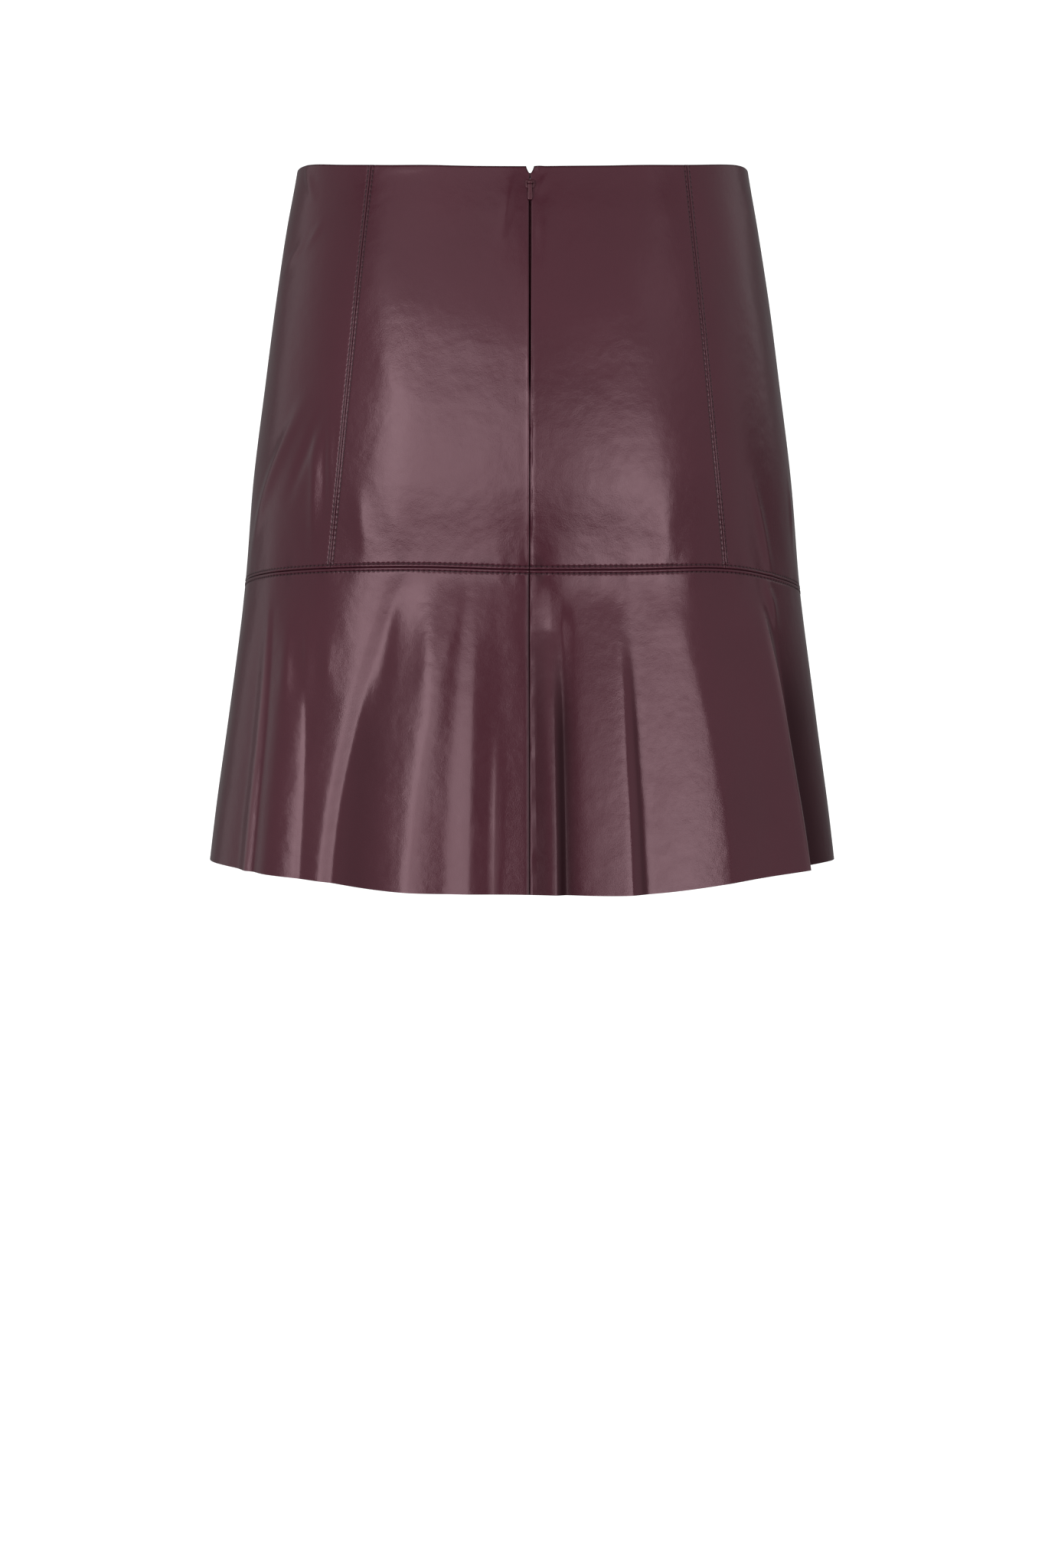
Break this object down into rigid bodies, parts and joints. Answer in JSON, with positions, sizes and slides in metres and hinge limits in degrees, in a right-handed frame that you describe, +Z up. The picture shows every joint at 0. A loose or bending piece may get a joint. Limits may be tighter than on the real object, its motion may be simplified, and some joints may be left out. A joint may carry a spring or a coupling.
{
  "type": "leather skirt",
  "caption": "Hollow, worn-shape A-line leather mini skirt: princess-seamed back with a centre zip, a hip seam and a flared flounce in soft folds, open at waist and hem.",
  "frame": {"origin": "middle of the waist, level with the highest points of the waist edge, where the wearer's waist holds the skirt", "axes": "+Z up out of the waist; the wearer faces +Y, so the zipped back faces -Y; +X is the wearer's right side"},
  "size_m": [0.3985, 0.2957, 0.4522],
  "materials": {
    "nappa": "smooth burgundy nappa, soft satin sheen",
    "zip_tape": "matte woven burgundy tape",
    "zip_coil": "satin burgundy nylon",
    "painted_metal": "burgundy enamel, semi-gloss"
  },
  "bodies": {
    "skirt": {"back_left": "nappa", "back_right": "nappa", "side_back_left": "nappa", "side_back_right": "nappa", "front": "nappa", "flounce_back_left": "nappa", "flounce_back_right": "nappa", "flounce_front": "nappa", "zip_coil": "zip_coil", "zip_tape_left": "zip_tape", "zip_tape_right": "zip_tape", "zip_slider": "painted_metal"},
    "zip_pull": {"zip_pull_tab": "painted_metal"}
  },
  "joints": [
    {"name": "zip_pull_hinge", "type": "hinge", "parent": "skirt", "child": "zip_pull", "pos_m": [0.00466, -0.10519, -0.01861], "axis": [-1, 0, 0], "range_deg": [0, 175]}
  ]
}
